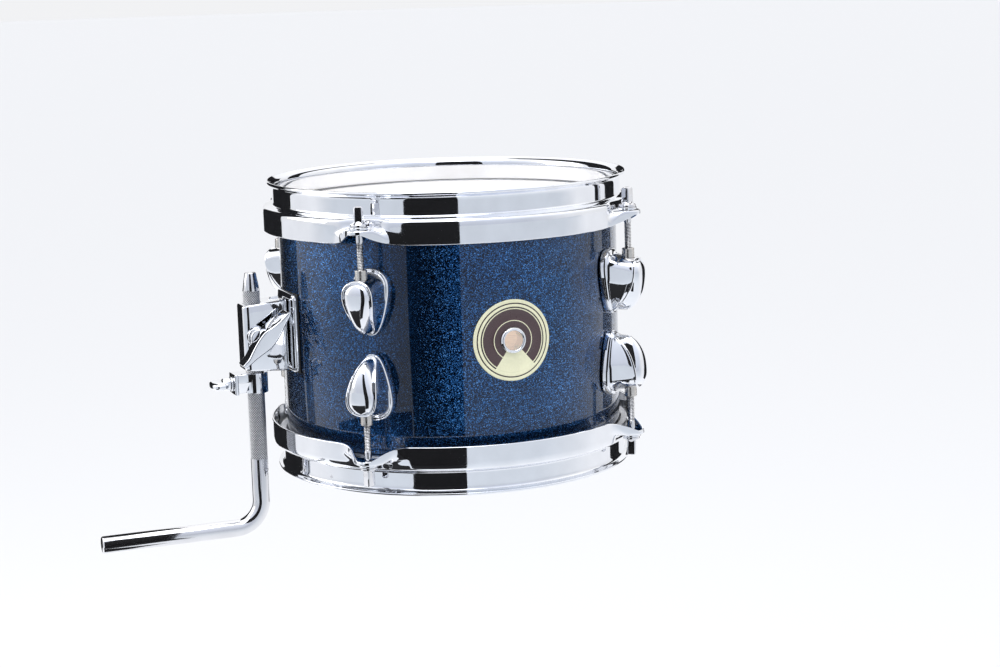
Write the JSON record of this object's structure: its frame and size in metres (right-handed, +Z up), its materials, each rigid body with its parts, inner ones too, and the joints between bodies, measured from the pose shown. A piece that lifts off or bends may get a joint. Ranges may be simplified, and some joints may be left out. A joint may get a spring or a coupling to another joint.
{
  "type": "tom tom drum",
  "caption": "Rack tom drum with a sparkle shell, flanged chrome hoops, tension rods in drop-shaped lugs, a side bracket with wing bolt, a memory lock and its bent mounting arm.",
  "frame": {"origin": "centre of the flat end of the arm's horizontal leg, where a tom holder's clamp grips it", "axes": "+Z up along the drum's axis from resonant head to batter head; +X from the arm's end towards the drum; the badge faces -Y"},
  "size_m": [0.413, 0.277, 0.2584],
  "materials": {
    "chrome": "polished chrome plate",
    "zinc": "dull nickel and zinc plate",
    "blue_sparkle": "blue glitter flakes under gloss clear",
    "maple_ply": "satin plywood",
    "coated_film": "translucent off-white coated film",
    "aluminium": "satin",
    "badge_enamel": "cream and dark brown rings, no lettering",
    "black_rubber": "matt"
  },
  "bodies": {
    "arm": {"arm": "chrome"},
    "lock": {"memory_lock": "chrome", "memory_lock_washer": "chrome"},
    "lock_bolt": {"memory_lock_bolt": "chrome"},
    "drum": {"shell": "maple_ply", "shell_wrap": "blue_sparkle", "badge": "badge_enamel", "vent_grommet": "chrome", "vent_collar": "chrome", "bracket_gasket": "black_rubber", "bracket_plate": "chrome", "bracket_block": "chrome", "bracket_backing": "zinc", "bracket_screw_1": "zinc", "bracket_screw_2": "zinc", "bracket_screw_3": "zinc", "bracket_screw_4": "zinc", "batter_lug_1": "chrome", "batter_lug_2": "chrome", "batter_lug_3": "chrome", "batter_lug_4": "chrome", "batter_swivel_nut_1": "zinc", "batter_swivel_nut_2": "zinc", "batter_swivel_nut_3": "zinc", "batter_swivel_nut_4": "zinc", "resonant_lug_1": "chrome", "resonant_lug_2": "chrome", "resonant_lug_3": "chrome", "resonant_lug_4": "chrome", "resonant_swivel_nut_1": "zinc", "resonant_swivel_nut_2": "zinc", "resonant_swivel_nut_3": "zinc", "resonant_swivel_nut_4": "zinc"},
    "clamp": {"bracket_jaw": "zinc"},
    "wing_bolt": {"wing_bolt": "chrome"},
    "batter_rim": {"batter_hoop": "chrome", "batter_film": "coated_film", "batter_flesh_hoop": "aluminium", "batter_rod_washer_1": "chrome", "batter_rod_washer_2": "chrome", "batter_rod_washer_3": "chrome", "batter_rod_washer_4": "chrome"},
    "batter_rod_1": {"batter_tension_rod_1": "chrome"},
    "batter_rod_2": {"batter_tension_rod_2": "chrome"},
    "batter_rod_3": {"batter_tension_rod_3": "chrome"},
    "batter_rod_4": {"batter_tension_rod_4": "chrome"},
    "resonant_rim": {"resonant_hoop": "chrome", "resonant_film": "coated_film", "resonant_flesh_hoop": "aluminium", "resonant_rod_washer_1": "chrome", "resonant_rod_washer_2": "chrome", "resonant_rod_washer_3": "chrome", "resonant_rod_washer_4": "chrome"},
    "resonant_rod_1": {"resonant_tension_rod_1": "chrome"},
    "resonant_rod_2": {"resonant_tension_rod_2": "chrome"},
    "resonant_rod_3": {"resonant_tension_rod_3": "chrome"},
    "resonant_rod_4": {"resonant_tension_rod_4": "chrome"}
  },
  "joints": [
    {"name": "height_slide", "type": "slide", "parent": "arm", "child": "lock", "axis": [0, 0, 1], "range_m": [-0.07, 0.015]},
    {"name": "drum_swivel", "type": "hinge", "parent": "lock", "child": "drum", "pos_m": [0.12, 0, 0.1166], "axis": [0, 0, 1], "range_deg": [-60, 60]},
    {"name": "lock_bolt_turn", "type": "hinge", "parent": "lock", "child": "lock_bolt", "pos_m": [0.099, 0, 0.109], "axis": [-1, 0, 0], "range_deg": [0, 720]},
    {"name": "clamp_slide", "type": "slide", "parent": "drum", "child": "clamp", "axis": [0, -1, 0], "range_m": [0, 0.0015]},
    {"name": "wing_bolt_turn", "type": "hinge", "parent": "clamp", "child": "wing_bolt", "pos_m": [0.12, -0.0163, 0.1444], "axis": [0, -1, 0], "range_deg": [0, 430]},
    {"name": "batter_lift", "type": "slide", "parent": "drum", "child": "batter_rim", "axis": [0, 0, 1], "range_m": [0, 0.012]},
    {"name": "batter_rod_1_turn", "type": "hinge", "parent": "batter_rim", "child": "batter_rod_1", "pos_m": [0.37668, 0.10218, 0.2317], "axis": [0, 0, 1], "range_deg": [0, 4085]},
    {"name": "batter_rod_2_turn", "type": "hinge", "parent": "batter_rim", "child": "batter_rod_2", "pos_m": [0.17232, 0.10218, 0.2317], "axis": [0, 0, 1], "range_deg": [0, 4085]},
    {"name": "batter_rod_3_turn", "type": "hinge", "parent": "batter_rim", "child": "batter_rod_3", "pos_m": [0.17232, -0.10218, 0.2317], "axis": [0, 0, 1], "range_deg": [0, 4085]},
    {"name": "batter_rod_4_turn", "type": "hinge", "parent": "batter_rim", "child": "batter_rod_4", "pos_m": [0.37668, -0.10218, 0.2317], "axis": [0, 0, 1], "range_deg": [0, 4085]},
    {"name": "resonant_drop", "type": "slide", "parent": "drum", "child": "resonant_rim", "axis": [0, 0, -1], "range_m": [0, 0.012]},
    {"name": "resonant_rod_1_turn", "type": "hinge", "parent": "resonant_rim", "child": "resonant_rod_1", "pos_m": [0.37668, 0.10218, 0.0591], "axis": [0, 0, -1], "range_deg": [0, 4085]},
    {"name": "resonant_rod_2_turn", "type": "hinge", "parent": "resonant_rim", "child": "resonant_rod_2", "pos_m": [0.17232, 0.10218, 0.0591], "axis": [0, 0, -1], "range_deg": [0, 4085]},
    {"name": "resonant_rod_3_turn", "type": "hinge", "parent": "resonant_rim", "child": "resonant_rod_3", "pos_m": [0.17232, -0.10218, 0.0591], "axis": [0, 0, -1], "range_deg": [0, 4085]},
    {"name": "resonant_rod_4_turn", "type": "hinge", "parent": "resonant_rim", "child": "resonant_rod_4", "pos_m": [0.37668, -0.10218, 0.0591], "axis": [0, 0, -1], "range_deg": [0, 4085]}
  ],
  "couplings": [
    {"joint": "clamp_slide", "follows": "wing_bolt_turn", "m_per_rad": 0.00019894},
    {"joint": "batter_rod_1_turn", "follows": "batter_lift", "rad_per_m": 5937.1},
    {"joint": "batter_rod_2_turn", "follows": "batter_lift", "rad_per_m": 5937.1},
    {"joint": "batter_rod_3_turn", "follows": "batter_lift", "rad_per_m": 5937.1},
    {"joint": "batter_rod_4_turn", "follows": "batter_lift", "rad_per_m": 5937.1},
    {"joint": "resonant_rod_1_turn", "follows": "resonant_drop", "rad_per_m": 5937.1},
    {"joint": "resonant_rod_2_turn", "follows": "resonant_drop", "rad_per_m": 5937.1},
    {"joint": "resonant_rod_3_turn", "follows": "resonant_drop", "rad_per_m": 5937.1},
    {"joint": "resonant_rod_4_turn", "follows": "resonant_drop", "rad_per_m": 5937.1}
  ]
}
